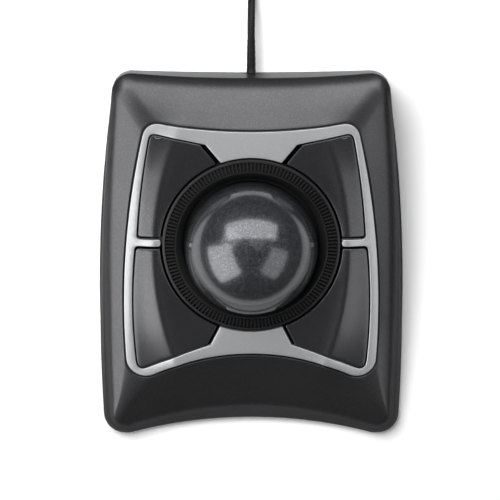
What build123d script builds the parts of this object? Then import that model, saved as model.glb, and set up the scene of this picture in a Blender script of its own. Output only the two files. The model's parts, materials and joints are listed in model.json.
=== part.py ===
# Desktop trackball: a big ball in a scroll ring, four rocking buttons, tilted deck, USB lead.
# Millimetres. +X right, +Y to the back where the lead leaves, +Z up, origin on the desk.
from build123d import *
from math import cos, hypot, radians, sin, sqrt, tan
import os

os.makedirs("parts", exist_ok=True)

# ---------------------------------------------------------------- driving dimensions
body_w = 130.0          # widest point of the base
base_back = 77.0        # middle of the back edge, from the origin
base_front = 71.3       # middle of the concave front edge, from the origin
ball_d = 55.0
ball_y = 5.2            # ball centre behind the middle of the footprint
ball_level = 37.5       # desk to the ball's centre
deck_slope = 11.0       # degrees, falling to the front
ring_drop = 3.0         # ball centre above the ring's top face
crease_drop = 9.1       # top of the walls below the deck
wall = 2.2
roof = 2.2              # flank wall, measured down from the crease
foot_t = 1.6
floor_z = 1.0           # underside of the base cover
floor_t = 2.2
seam_z = 5.2            # where the top cover meets the base cover

bezel_gap = 0.7         # top cover opening round the silver frame
frame_t = 2.5
ledge_t = 2.0
ledge_w = 2.0
button_gap = 0.55
button_sink = 0.2       # button tops below the frame
skin = 1.8
skirt_w = 1.2
skirt_h = 4.0
bar_w = 2.9             # separator bars between back and front buttons
bar_v = 1.4
bar_gap = 1.15

ball_gap = 1.2          # ball to ring, across
ring_w = 8.7
ring_gap = 0.7          # ring to deck opening
ring_h = 5.5
ring_play = 0.3         # skirt round the socket's track
glide_t = 0.6
glide_gap = 0.1
skirt_t = 1.2
encoder_h = 4.0
encoder_slots = 48

cup_gap = 0.5
cup_t = 2.0
flange_over = 11.3      # socket flange beyond the ring bore
support_d = 3.0
support_gap = 0.02
frame_level = -12.0     # top face of the inner frame, in the deck's own height
inner_t = 2.0
board_gap = 2.0
board_t = 1.6

pin_d = 2.0
pin_len = 20.0
pin_play = 0.05
lug_len = 8.0
lug_w = 3.6
lug_gap = 1.0
hinge_in = 10.3         # hinge line inside the side of the silver frame
hinge_level = -7.0

switch_size = (12.8, 5.8, 6.5)
plunger_d = 2.4
plunger_out = 1.0
plunger_in = 2.0
plunger_play = 0.1
tap_gap = 0.1           # button post above its plunger

cable_d = 3.2
lead_d = 2.0
exit_z = 10.0           # height of the lead's exit
relief_len = 14.0
coil_pitch = cable_d + 0.1
coil_rows = 4
coil_inner = 11.85
coil_side = 1.0         # outermost turn of the coil, beside the lead that feeds it
coil_behind = 65.0      # middle of the coil behind the back edge
tie_w, tie_t = 5.0, 0.8
plug_size = (16.0, 18.0, 8.0)
shell_size = (12.0, 12.0, 4.5)
shell_t = 0.4

# ---------------------------------------------------------------- planes
slope = radians(deck_slope)
ball_r = ball_d / 2
ball_c = Vector(0, ball_y, ball_level)
normal = Vector(0, -sin(slope), cos(slope))
deck = Plane(origin=ball_c - normal * ring_drop, x_dir=(1, 0, 0), z_dir=normal)
section = Plane(origin=deck.origin, x_dir=(1, 0, 0), z_dir=(0, -cos(slope), -sin(slope)))
ring_axis = Axis(deck.origin, normal)
sides = {"left": -1, "right": 1}
half_w = body_w / 2

ring_bore = ball_r + ball_gap
ring_r = ring_bore + ring_w
open_r = ring_r + ring_gap
flange_r = ring_bore + flange_over
inner_bottom = frame_level - inner_t
board_top = inner_bottom - board_gap
board_bottom = board_top - board_t
floor_top = floor_z + floor_t


def level(w):
    """The deck's plane moved along its normal."""
    return deck.offset(w)


def deck_v(y, w):
    """The deck's own forward-back coordinate of a point at height w over the given y."""
    return (y - deck.origin.Y + w * sin(slope)) / cos(slope)


# Each outline has four bowed sides: corner and middle points, then corner radii.
base_edge = dict(back=(half_w - 7.4, base_back + 1.1), front=(half_w - 3.6, -base_front - 9.5),
                 back_mid=base_back, side=(half_w, -17.0), front_mid=-base_front,
                 back_r=8.0, front_r=9.0)
crease_edge = dict(back=(half_w - 8.6, deck_v(base_back + 0.1, -crease_drop)),
                   front=(half_w - 6.2, deck_v(-base_front - 5.9, -crease_drop)),
                   back_mid=deck_v(base_back - 2.2, -crease_drop),
                   side=(half_w - 3.3, deck_v(-17.0, -crease_drop)),
                   front_mid=deck_v(6.3 - base_front, -crease_drop), back_r=8.0, front_r=8.0)
bezel_edge = dict(back=(half_w - 20.6, deck_v(base_back - 20.5, 0) + 1.4),
                  front=(half_w - 14.8, deck_v(29.7 - base_front, 0) - 13.3),
                  back_mid=deck_v(base_back - 23.3, 0) + 0.1, side=(half_w - 13.0, 0.0),
                  front_mid=deck_v(29.7 - base_front, 0), back_r=6.0, front_r=8.0)


def circle_through(p, q, r):
    """Centre and radius of the circle through three points."""
    ax, ay, bx, by = q[0] - p[0], q[1] - p[1], r[0] - p[0], r[1] - p[1]
    double = 2 * (ax * by - ay * bx)
    dx = (by * (ax ** 2 + ay ** 2) - ay * (bx ** 2 + by ** 2)) / double
    dy = (ax * (bx ** 2 + by ** 2) - bx * (ax ** 2 + ay ** 2)) / double
    return Vector(p[0] + dx, p[1] + dy), hypot(dx, dy)


def meet(first, second, near):
    """The crossing of two circles that lies nearer to a point."""
    (c1, r1), (c2, r2) = first, second
    gap = c2 - c1
    reach = (gap.length ** 2 + r1 ** 2 - r2 ** 2) / (2 * gap.length)
    foot = c1 + gap.normalized() * reach
    swing = Vector(-gap.Y, gap.X).normalized() * sqrt(r1 ** 2 - reach ** 2)
    return min((foot + swing, foot - swing), key=lambda point: (point - Vector(*near)).length)


def outline(plane, edge, inset=0.0):
    """The closed outline of one edge on a plane, drawn in or (negative inset) out."""
    (bx, by), (fx, fy) = edge["back"], edge["front"]
    back_c, back_r = circle_through((-bx, by), (0, edge["back_mid"]), (bx, by))
    side_c, side_r = circle_through((bx, by), edge["side"], (fx, fy))
    front_c, front_r = circle_through((fx, fy), (0, edge["front_mid"]), (-fx, fy))
    side_arc = (side_c, side_r - inset)
    back = meet((back_c, back_r + inset), side_arc, (bx, by))
    front = meet((front_c, front_r + inset), side_arc, (fx, fy))
    side = side_c + (Vector(*edge["side"]) - side_c) * ((side_r - inset) / side_r)
    with BuildSketch(plane) as face:
        with BuildLine():
            ThreePointArc((-back.X, back.Y), (0, edge["back_mid"] - inset), (back.X, back.Y))
            ThreePointArc((back.X, back.Y), (side.X, side.Y), (front.X, front.Y))
            ThreePointArc((front.X, front.Y), (0, edge["front_mid"] + inset), (-front.X, front.Y))
            ThreePointArc((-front.X, front.Y), (-side.X, side.Y), (-back.X, back.Y))
        make_face()
        fillet(face.vertices().sort_by(Axis.Y)[-2:], edge["back_r"] - inset)
        fillet(face.vertices().sort_by(Axis.Y)[:2], edge["front_r"] - inset)
    return face.sketch


def button_outline(plane, row, side, grow=0.0):
    """One button's outline, or the opening round it when grown."""
    bx, by = bezel_edge["back"]
    fx, fy = bezel_edge["front"]
    sx = bezel_edge["side"][0]
    if row == "back":
        near = bar_v + bar_w / 2 + (grow if grow > 0 else bar_gap)
        outer = (bx - 3.5, by - 5.9)
        inner = (bx - 25.4, bezel_edge["back_mid"] - 6.3)
        with BuildSketch(plane) as face:
            with BuildLine():
                Polyline((sx - 5.1, near), outer)
                ThreePointArc(outer, ((outer[0] + inner[0]) / 2, (outer[1] + inner[1]) / 2 - 0.5), inner)
                Polyline(inner, (inner[0] - 11.2, inner[1] - 13.4), (ring_bore - 4, near), (sx - 5.1, near))
            make_face()
            fillet(face.vertices().sort_by(Axis.Y)[-1], 2.5)
            fillet(face.vertices().sort_by(Axis.X)[-1], 1.2)
            if grow:
                offset(amount=grow)
            Circle(open_r + 0.2 - grow, mode=Mode.SUBTRACT)
            if side < 0:
                mirror(about=Plane.YZ, mode=Mode.REPLACE)
    else:
        near = bar_v - bar_w / 2 - (grow if grow > 0 else bar_gap)
        outer = (fx - 4.1, fy + 7.6)
        inner = (fx - 32.7, bezel_edge["front_mid"] + 5.4)
        with BuildSketch(plane) as face:
            with BuildLine():
                ThreePointArc((sx - 3.7, near), (sx - 3.0, -26.0), outer)
                ThreePointArc(outer, ((outer[0] + inner[0]) / 2, (outer[1] + inner[1]) / 2 - 0.7), inner)
                Polyline(inner, (inner[0] - 6.5, inner[1] + 13.0), (ring_bore - 4, near), (sx - 3.7, near))
            make_face()
            fillet(face.vertices().sort_by(Axis.Y)[0], 3.0)
            fillet(face.vertices().group_by(Axis.Y)[-1].sort_by(Axis.X)[-1], 1.5)
            if grow:
                offset(amount=grow)
            Circle(open_r + 0.2 - grow, mode=Mode.SUBTRACT)
            if side < 0:
                mirror(about=Plane.YZ, mode=Mode.REPLACE)
    return face.sketch


def ray(azimuth, below):
    """Unit direction from the ball centre, below the deck's plane."""
    flat = cos(radians(below))
    local = (flat * cos(radians(azimuth)), flat * sin(radians(azimuth)), -sin(radians(below)))
    return deck.from_local_coords(local) - deck.origin


def along(direction, distance):
    """A plane across a ray from the ball centre."""
    return Plane(origin=ball_c + direction * distance, x_dir=(1, 0, 0), z_dir=direction)


def bend_radii(points):
    """Radii for the corners of a route, as large as the runs beside each corner allow."""
    radii = []
    for before, here, after in zip(points, points[1:], points[2:]):
        run_in, run_out = Vector(*here) - Vector(*before), Vector(*after) - Vector(*here)
        half_turn = radians(run_in.get_angle(run_out)) / 2
        radii.append(0.45 * min(run_in.length, run_out.length) / tan(half_turn))
    return radii


# ---------------------------------------------------------------- shells
post_r = 3.5
screw_r = 1.2
head_r = 2.4
post_spots = [(15.0 - half_w, base_back - 25.0), (half_w - 15.0, base_back - 25.0),
              (12.0 - half_w, 23.3 - base_front), (half_w - 12.0, 23.3 - base_front),
              (0.0, 13.3 - base_front)]
foot_spots = {"back_left": (19.0 - half_w, base_back - 10.0),
              "back_right": (half_w - 19.0, base_back - 10.0),
              "front_left": (18.0 - half_w, 5.8 - base_front),
              "front_right": (half_w - 18.0, 5.8 - base_front)}
foot_size = (18.0, 8.0)
foot_sink = foot_t - floor_z
slot_spots = [(-22.0, 7.0 - base_front), (22.0, 7.0 - base_front)]
slot_size = (12.0, 2.6)
relief_r = 3.1
lip_in, lip_t = 3.4, 1.2

with BuildPart() as cavity:
    loft([outline(Plane.XY.offset(seam_z), base_edge, wall),
          outline(level(-crease_drop - roof), crease_edge, wall + 0.2)], ruled=True)
    loft([outline(level(-crease_drop - roof), crease_edge, wall + 0.2),
          outline(level(-frame_t - ledge_t), bezel_edge, -0.2)], ruled=True)
    with BuildSketch(Plane.XY.offset(seam_z)):
        with Locations(*post_spots):
            Circle(post_r)
    extrude(amount=ball_d, mode=Mode.SUBTRACT)

with BuildPart() as top_cover:
    loft([outline(Plane.XY.offset(seam_z), base_edge), outline(level(-crease_drop), crease_edge)], ruled=True)
    loft([outline(level(-crease_drop), crease_edge), outline(level(0), bezel_edge, -bezel_gap)], ruled=True)
    add(cavity.part, mode=Mode.SUBTRACT)
    extrude(outline(level(-frame_t), bezel_edge, -bezel_gap), amount=3 * frame_t, mode=Mode.SUBTRACT)
    extrude(outline(level(-frame_t - 2 * ledge_t), bezel_edge, ledge_w), amount=3 * ledge_t,
            mode=Mode.SUBTRACT)
    with BuildSketch(Plane.XY.offset(seam_z)):
        with Locations(*post_spots):
            Circle(screw_r)
    extrude(amount=7.0, mode=Mode.SUBTRACT)
    with BuildSketch(Plane(origin=(0, base_back - 6, exit_z), z_dir=(0, 1, 0))):
        Circle(relief_r + 0.1)
    extrude(amount=10, mode=Mode.SUBTRACT)
top_cover.part.label = "top_cover"
export_step(top_cover.part, "parts/top_cover.step")

with BuildPart() as base_cover:
    extrude(outline(Plane.XY.offset(floor_z), base_edge), amount=seam_z - floor_z)
    chamfer(base_cover.faces().sort_by(Axis.Z)[0].edges(), 0.8)
    extrude(outline(Plane.XY.offset(floor_top), base_edge, wall), amount=seam_z, mode=Mode.SUBTRACT)
    extrude(outline(Plane.XY.offset(floor_top - 0.2), base_edge, wall + lip_in),
            amount=seam_z - floor_top + 1.0)
    extrude(outline(Plane.XY.offset(floor_top), base_edge, wall + lip_in + lip_t), amount=seam_z,
            mode=Mode.SUBTRACT)
    with BuildSketch(Plane.XY.offset(floor_top)):
        with Locations((0, base_back - wall - lip_in)):
            Rectangle(18, 2 * lip_in)
    extrude(amount=seam_z, mode=Mode.SUBTRACT)
    with BuildSketch(Plane.XY.offset(floor_top - 0.2)):
        with Locations(*post_spots):
            Circle(post_r)
    extrude(amount=seam_z - floor_top + 0.2)
    with BuildSketch(Plane.XY.offset(floor_z)):
        with Locations(*post_spots):
            Circle(screw_r + 0.2)
        with Locations(*slot_spots):
            SlotOverall(*slot_size)
    extrude(amount=seam_z, mode=Mode.SUBTRACT)
    with BuildSketch(Plane.XY.offset(floor_z)):
        with Locations(*post_spots):
            Circle(head_r + 0.2)
    extrude(amount=1.4, mode=Mode.SUBTRACT)
    with BuildSketch(Plane.XY.offset(floor_z)):
        with Locations(*foot_spots.values()):
            SlotOverall(*foot_size)
    extrude(amount=foot_sink, mode=Mode.SUBTRACT)
base_cover.part.label = "base_cover"
export_step(base_cover.part, "parts/base_cover.step")

for name, (x, y) in foot_spots.items():
    with BuildPart() as foot:
        with BuildSketch():
            with Locations((x, y)):
                SlotOverall(foot_size[0] - 0.2, foot_size[1] - 0.2)
        extrude(amount=foot_t)
        fillet(foot.faces().sort_by(Axis.Z)[0].edges(), 0.4)
    foot.part.label = f"foot_{name}"
    export_step(foot.part, f"parts/foot_{name}.step")

with BuildPart() as base_screws:
    with BuildSketch(Plane.XY.offset(floor_z + 0.1)):
        with Locations(*post_spots):
            Circle(head_r)
    extrude(amount=1.3)
    with BuildSketch(Plane.XY.offset(floor_z + 1.0)):
        with Locations(*post_spots):
            Circle(screw_r)
    extrude(amount=9.5)
base_screws.part.label = "base_screws"
export_step(base_screws.part, "parts/base_screws.step")

# ---------------------------------------------------------------- silver frame
frame_posts = [(0, flange_r + 3.8), (0, -flange_r - 3.8)]
side_posts = [(-bezel_edge["side"][0] + 4.4, bar_v), (bezel_edge["side"][0] - 4.4, bar_v)]
frame_screw_r = 0.8

with BuildPart() as button_frame:
    extrude(outline(level(-frame_t), bezel_edge), amount=frame_t)
    with BuildSketch(level(-frame_t)):
        Circle(open_r)
    extrude(amount=frame_t, mode=Mode.SUBTRACT)
    for side in sides.values():
        for row in ("back", "front"):
            extrude(button_outline(level(-frame_t), row, side, button_gap), amount=frame_t,
                    mode=Mode.SUBTRACT)
    with BuildSketch(level(frame_level)):
        with Locations(*frame_posts):
            Circle(2.4)
        with Locations(*side_posts):
            Circle(1.6)
    extrude(amount=-frame_level - frame_t + 0.2)
    with BuildSketch(level(frame_level)):
        with Locations(*frame_posts, *side_posts):
            Circle(frame_screw_r)
    extrude(amount=7.0, mode=Mode.SUBTRACT)
button_frame.part.label = "button_frame"
export_step(button_frame.part, "parts/button_frame.step")

with BuildPart() as frame_screws:
    with BuildSketch(level(inner_bottom - 1.2)):
        with Locations(*frame_posts, *side_posts):
            Circle(1.6)
    extrude(amount=1.2)
    with BuildSketch(level(inner_bottom - 0.2)):
        with Locations(*frame_posts, *side_posts):
            Circle(frame_screw_r)
    extrude(amount=8.0)
frame_screws.part.label = "frame_screws"
export_step(frame_screws.part, "parts/frame_screws.step")

# ---------------------------------------------------------------- buttons, hinges and switches
hinge_u = bezel_edge["side"][0] - hinge_in
hinge_v = {"back": 21.0, "front": -24.0}
switch_azimuth = {"back": 50.0, "front": -52.0}
switch_reach = flange_r + 7.0
switch_spots = {row: (switch_reach * cos(radians(angle)), switch_reach * sin(radians(angle)))
                for row, angle in switch_azimuth.items()}
switch_top = board_top + switch_size[2]
plunger_top = switch_top + plunger_out
button_top = -button_sink
button_bottom = button_top - skirt_h
keys = [(row, name, side) for row in ("back", "front") for name, side in sides.items()]

for row, name, side in keys:
    tap_u, tap_v = side * switch_spots[row][0], switch_spots[row][1]
    with BuildPart() as button:
        extrude(button_outline(level(button_bottom), row, side), amount=skirt_h)
        extrude(button_outline(level(button_bottom), row, side, -skirt_w), amount=skirt_h - skin,
                mode=Mode.SUBTRACT)
        with BuildSketch(level(plunger_top + tap_gap)):
            with Locations((tap_u, tap_v)):
                Circle(1.8)
        extrude(amount=button_top - skin - plunger_top - tap_gap + 0.2)
        with BuildSketch(level(hinge_level - lug_w / 2)):
            with Locations((side * hinge_u, hinge_v[row])):
                Rectangle(lug_w, lug_len)
        extrude(amount=button_top - skin - hinge_level + lug_w / 2 + 0.2)
        lug_start = deck.from_local_coords((side * hinge_u, hinge_v[row] - lug_len, hinge_level))
        with BuildSketch(Plane(origin=lug_start, x_dir=(1, 0, 0), z_dir=deck.y_dir)):
            Circle(pin_d / 2 + pin_play)
        extrude(amount=2 * lug_len, mode=Mode.SUBTRACT)
    button.part.label = f"button_{row}_{name}"
    export_step(button.part, f"parts/button_{row}_{name}.step")

with BuildPart() as hinge_pins:
    for row, name, side in keys:
        pin_start = deck.from_local_coords((side * hinge_u, hinge_v[row] - pin_len / 2, hinge_level))
        with BuildSketch(Plane(origin=pin_start, x_dir=(1, 0, 0), z_dir=deck.y_dir)):
            Circle(pin_d / 2)
        extrude(amount=pin_len)
hinge_pins.part.label = "hinge_pins"
export_step(hinge_pins.part, "parts/hinge_pins.step")

for row, name, side in keys:
    spot = (side * switch_spots[row][0], switch_spots[row][1])
    with BuildPart() as switch:
        with BuildSketch(level(board_top)):
            with Locations(spot):
                Rectangle(switch_size[0], switch_size[1])
        extrude(amount=switch_size[2])
        with BuildSketch(level(switch_top - plunger_in - 1.0)):
            with Locations(spot):
                Circle(plunger_d / 2 + plunger_play)
        extrude(amount=plunger_in + 1.0, mode=Mode.SUBTRACT)
    switch.part.label = f"switch_{row}_{name}"
    export_step(switch.part, f"parts/switch_{row}_{name}.step")
    with BuildPart() as plunger:
        with BuildSketch(level(switch_top - plunger_in)):
            with Locations(spot):
                Circle(plunger_d / 2)
        extrude(amount=plunger_in + plunger_out)
    plunger.part.label = f"plunger_{row}_{name}"
    export_step(plunger.part, f"parts/plunger_{row}_{name}.step")

# ---------------------------------------------------------------- ball, socket and scroll ring
glide_top = -ring_h - glide_gap
track_top = glide_top - glide_t
track_r = ring_bore + 3.3
skirt_in = track_r + ring_play
cup_in = ball_r + cup_gap
cup_out = cup_in + cup_t
support_rays = [ray(-90, 45), ray(30, 45), ray(150, 45)]
support_at = ball_r + support_d / 2 + support_gap
sensor_ray = ray(90, 60)
lens_near, chip_near, board_near = cup_out + 0.2, cup_out + 3.0, cup_out + 6.0
sensor_half = 10.0
sensor_posts = [(-8.0, 0.0), (8.0, 0.0)]
gate_u = skirt_in + skirt_t / 2     # middle of the light gate's slot
gate_slot = 3.2
gate_arm = 2.2
gate_v = 7.0


def shell_radius(radius, w):
    """Radius of a sphere about the ball centre where it crosses a deck level."""
    return sqrt(radius ** 2 - (ring_drop - w) ** 2)


with BuildPart() as ball:
    with Locations(ball_c):
        Sphere(ball_r)
ball.part.label = "ball"
export_step(ball.part, "parts/ball.step")

with BuildPart() as ball_socket:
    with Locations(ball_c):
        Sphere(cup_out)
    for direction in support_rays:
        with BuildSketch(along(direction, cup_in + 0.3)):
            Circle(support_d / 2 + 1.1)
        extrude(amount=support_d + 0.8)
    with BuildSketch(along(sensor_ray, cup_in + 1.0)):
        with Locations(*sensor_posts):
            Circle(2.0)
    extrude(amount=board_near - cup_in - 1.0)
    with Locations(ball_c):
        Sphere(cup_in, mode=Mode.SUBTRACT)
    split(bisect_by=level(track_top), keep=Keep.BOTTOM)
    with BuildSketch(level(frame_level)):
        Circle(flange_r)
        Circle(shell_radius(cup_in, frame_level + inner_t) + 0.6, mode=Mode.SUBTRACT)
    extrude(amount=inner_t)
    with BuildSketch(level(frame_level + 1.0)):
        Circle(track_r)
        Circle(track_r - 2.0, mode=Mode.SUBTRACT)
    extrude(amount=track_top - frame_level - 1.0)
    with BuildSketch(level(track_top - 1.8)):
        Circle(track_r)
        Circle(shell_radius(cup_in, track_top) + 0.8, mode=Mode.SUBTRACT)
    extrude(amount=1.8)
    for direction in support_rays:
        with BuildSketch(along(direction, ball_r)):
            Circle(support_d / 2 + 0.03)
        extrude(amount=support_d + 0.1, mode=Mode.SUBTRACT)
    with BuildSketch(along(sensor_ray, cup_in - 1.0)):
        Circle(3.5)
    extrude(amount=cup_t + 2.0, mode=Mode.SUBTRACT)
    with BuildSketch(level(frame_level - 0.5)):
        with Locations((gate_u, 0)):
            Rectangle(gate_slot + 2 * gate_arm + 0.8, gate_v + 1.4)
    extrude(amount=track_top - frame_level + 1.0, mode=Mode.SUBTRACT)
    with BuildSketch(level(frame_level)):
        with PolarLocations(flange_r - 2.4, 3, start_angle=60):
            Circle(0.9)
    extrude(amount=inner_t, mode=Mode.SUBTRACT)
    with BuildSketch(along(sensor_ray, board_near - 4.0)):
        with Locations(*sensor_posts):
            Circle(0.7)
    extrude(amount=4.0, mode=Mode.SUBTRACT)
ball_socket.part.label = "ball_socket"
export_step(ball_socket.part, "parts/ball_socket.step")

with BuildPart() as support_balls:
    with Locations(*[ball_c + direction * support_at for direction in support_rays]):
        Sphere(support_d / 2)
support_balls.part.label = "support_balls"
export_step(support_balls.part, "parts/support_balls.step")

with BuildPart() as socket_screws:
    with BuildSketch(level(frame_level + inner_t)):
        with PolarLocations(flange_r - 2.4, 3, start_angle=60):
            Circle(1.7)
    extrude(amount=1.2)
    with BuildSketch(level(inner_bottom)):
        with PolarLocations(flange_r - 2.4, 3, start_angle=60):
            Circle(0.9)
    extrude(amount=2 * inner_t + 0.2)
socket_screws.part.label = "socket_screws"
export_step(socket_screws.part, "parts/socket_screws.step")

with BuildPart() as ring_glides:
    with BuildSketch(level(track_top)):
        with PolarLocations(track_r - 1.7, 3, start_angle=120):
            Rectangle(2.4, 9.0)
    extrude(amount=glide_t)
ring_glides.part.label = "ring_glides"
export_step(ring_glides.part, "parts/ring_glides.step")

with BuildPart() as scroll_ring:
    with BuildSketch(section):
        with BuildLine():
            Polyline((ring_bore, -ring_h), (ring_bore, -3.2), (ring_bore + 3.6, -0.7), (ring_bore + 3.9, 0),
                     (ring_r - 1.5, 0), (ring_r, -1.5), (ring_r, -ring_h), (ring_bore, -ring_h))
        make_face()
    revolve(axis=ring_axis)
scroll_ring.part.label = "scroll_ring"
export_step(scroll_ring.part, "parts/scroll_ring.step")

with BuildPart() as scroll_encoder:
    with BuildSketch(level(-ring_h - encoder_h)):
        Circle(skirt_in + skirt_t)
        Circle(skirt_in, mode=Mode.SUBTRACT)
    extrude(amount=encoder_h)
    with BuildSketch(level(-ring_h - encoder_h + 0.6)):
        with PolarLocations(skirt_in + skirt_t / 2, encoder_slots):
            Rectangle(2 * skirt_t, 2.0)
    extrude(amount=2.0, mode=Mode.SUBTRACT)
scroll_encoder.part.label = "scroll_encoder"
export_step(scroll_encoder.part, "parts/scroll_encoder.step")

with BuildPart() as scroll_sensor:
    with BuildSketch(level(board_top)):
        with Locations((gate_u, 0)):
            Rectangle(gate_slot + 2 * gate_arm, gate_v)
    extrude(amount=track_top - 0.3 - board_top)
    with BuildSketch(level(-ring_h - encoder_h - 1.5)):
        with Locations((gate_u, 0)):
            Rectangle(gate_slot, gate_v)
    extrude(amount=encoder_h + 2.0, mode=Mode.SUBTRACT)
scroll_sensor.part.label = "scroll_sensor"
export_step(scroll_sensor.part, "parts/scroll_sensor.step")

# ---------------------------------------------------------------- inner frame
tower_len = (pin_len - lug_len) / 2 - lug_gap
board_posts = [(side * (flange_r - 6.0), end * 20.0) for side in sides.values() for end in (1, -1)]

with BuildPart() as inner_frame:
    extrude(outline(level(inner_bottom), bezel_edge, 1.5), amount=inner_t)
    with BuildSketch(level(inner_bottom)):
        Circle(track_r)
        with Locations((gate_u, 0)):
            Rectangle(gate_slot + 2 * gate_arm + 0.8, gate_v + 1.4)
        for row, name, side in keys:
            with Locations((side * switch_spots[row][0], switch_spots[row][1])):
                Rectangle(switch_size[0] + 0.8, switch_size[1] + 0.8)
        with PolarLocations(flange_r - 2.4, 3, start_angle=60):
            Circle(0.9)
        with Locations(*frame_posts, *side_posts):
            Circle(frame_screw_r)
    extrude(amount=inner_t, mode=Mode.SUBTRACT)
    for row, name, side in keys:
        for end in (1, -1):
            with BuildSketch(level(frame_level - 0.2)):
                with Locations((side * hinge_u, hinge_v[row] + end * (pin_len - tower_len) / 2)):
                    Rectangle(lug_w, tower_len)
            extrude(amount=hinge_level - frame_level + pin_d / 2 + 1.0)
        pin_start = deck.from_local_coords((side * hinge_u, hinge_v[row] - pin_len / 2, hinge_level))
        with BuildSketch(Plane(origin=pin_start, x_dir=(1, 0, 0), z_dir=deck.y_dir)):
            Circle(pin_d / 2)
        extrude(amount=pin_len, mode=Mode.SUBTRACT)
    with BuildSketch(level(board_top)):
        with Locations(*board_posts):
            Circle(2.0)
    extrude(amount=board_gap + 0.2)
    with BuildSketch(level(board_top)):
        with Locations(*board_posts):
            Circle(0.8)
    extrude(amount=board_gap + 1.4, mode=Mode.SUBTRACT)
inner_frame.part.label = "inner_frame"
export_step(inner_frame.part, "parts/inner_frame.step")

# ---------------------------------------------------------------- electronics
board_half = flange_r - 1.5
header_spot = (14.0, flange_r - 4.0)
header_size = (10.0, 4.5, 4.0)
mate_size = (9.0, 4.0, 5.0)
header_bottom = board_bottom - header_size[2]

with BuildPart() as circuit_board:
    with BuildSketch(level(board_bottom)):
        with Locations((0, -1.0)):
            RectangleRounded(2 * board_half, 2 * switch_reach - 4.0, 4.0)
        Circle(shell_radius(cup_out, board_top) + 3.8, mode=Mode.SUBTRACT)
        with Locations(*board_posts):
            Circle(0.8, mode=Mode.SUBTRACT)
    extrude(amount=board_t)
circuit_board.part.label = "circuit_board"
export_step(circuit_board.part, "parts/circuit_board.step")

with BuildPart() as board_screws:
    with BuildSketch(level(board_bottom - 1.2)):
        with Locations(*board_posts):
            Circle(1.6)
    extrude(amount=1.2)
    with BuildSketch(level(board_bottom - 0.2)):
        with Locations(*board_posts):
            Circle(0.8)
    extrude(amount=board_t + board_gap + 1.4)
board_screws.part.label = "board_screws"
export_step(board_screws.part, "parts/board_screws.step")

small_parts = {
    "controller_chip": ((0.0, 5.0 - flange_r), (9.0, 6.0, 1.2)),
    "crystal": ((11.5, 5.0 - flange_r), (5.0, 3.2, 1.2)),
}
for name, (spot, (long, wide, high)) in small_parts.items():
    with BuildPart() as chip:
        with BuildSketch(level(board_bottom - high)):
            with Locations(spot):
                Rectangle(long, wide)
        extrude(amount=high)
    chip.part.label = name
    export_step(chip.part, f"parts/{name}.step")

with BuildPart() as capacitors:
    with BuildSketch(level(board_bottom - 5.0)):
        with Locations((-14.0, flange_r - 5.0), (-20.0, flange_r - 8.0)):
            Circle(2.0)
    extrude(amount=5.0)
capacitors.part.label = "capacitors"
export_step(capacitors.part, "parts/capacitors.step")

with BuildPart() as board_header:
    with BuildSketch(level(header_bottom)):
        with Locations(header_spot):
            Rectangle(header_size[0], header_size[1])
    extrude(amount=header_size[2])
board_header.part.label = "board_header"
export_step(board_header.part, "parts/board_header.step")

with BuildPart() as header_plug:
    with BuildSketch(level(header_bottom - mate_size[2])):
        with Locations(header_spot):
            Rectangle(mate_size[0], mate_size[1])
    extrude(amount=mate_size[2])
header_plug.part.label = "header_plug"
export_step(header_plug.part, "parts/header_plug.step")

with BuildPart() as sensor_board:
    with BuildSketch(along(sensor_ray, board_near)):
        Rectangle(2 * sensor_half, 13.0)
        with Locations(*sensor_posts):
            Circle(0.7, mode=Mode.SUBTRACT)
    extrude(amount=board_t)
sensor_board.part.label = "sensor_board"
export_step(sensor_board.part, "parts/sensor_board.step")

with BuildPart() as sensor_screws:
    with BuildSketch(along(sensor_ray, board_near + board_t)):
        with Locations(*sensor_posts):
            Circle(1.3)
    extrude(amount=1.0)
    with BuildSketch(along(sensor_ray, board_near - 3.8)):
        with Locations(*sensor_posts):
            Circle(0.7)
    extrude(amount=board_t + 4.0)
sensor_screws.part.label = "sensor_screws"
export_step(sensor_screws.part, "parts/sensor_screws.step")

with BuildPart() as sensor_chip:
    with BuildSketch(along(sensor_ray, chip_near)):
        Rectangle(8.0, 9.0)
    extrude(amount=board_near - chip_near)
sensor_chip.part.label = "sensor_chip"
export_step(sensor_chip.part, "parts/sensor_chip.step")

with BuildPart() as sensor_lens:
    with BuildSketch(along(sensor_ray, lens_near)):
        Circle(4.0)
    extrude(amount=chip_near - lens_near)
sensor_lens.part.label = "sensor_lens"
export_step(sensor_lens.part, "parts/sensor_lens.step")

# ---------------------------------------------------------------- lead, coil and plug
relief_in = base_back - wall - 2.3
relief_out = base_back - 0.1 + relief_len
coil_outer = coil_inner + (coil_rows - 1) * coil_pitch + cable_d
coil_h = (coil_rows - 1) * coil_pitch + cable_d
last_r = coil_outer - cable_d / 2
coil_x, coil_y = coil_side - last_r, base_back + coil_behind
lead_end = deck.from_local_coords((*header_spot, header_bottom - mate_size[2]))
inner_route = [(0, relief_in, exit_z), (0, base_back - 9.4, exit_z), (2.6, base_back - 14.6, 9.2),
               (6.5, base_back - 19.0, 8.3), (10.0, base_back - 22.4, 7.9), (12.3, base_back - 26.2, 8.1),
               (13.4, base_back - 28.6, 9.8), tuple(lead_end - normal * 3.1), tuple(lead_end)]
cable_route = [(0, relief_out, exit_z), (0, base_back + 23.5, exit_z), (0.4, base_back + 37.0, 2.6),
               (0.9, base_back + 51.0, cable_d / 2 + 0.05), (coil_side, coil_y, cable_d / 2)]
tail_steps = [(0, 0, -cable_d / 2), (4.75, -0.05, -1.5), (9.25, 0.1, -0.8), (14.55, 2.25, 0.8),
              (18.65, 6.25, 2.8), (20.85, 11.65, 4.1), (20.85, 16.15, 4.1)]
tail_route = [(coil_x + x, coil_y - last_r + y, coil_h + z) for x, y, z in tail_steps]

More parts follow.
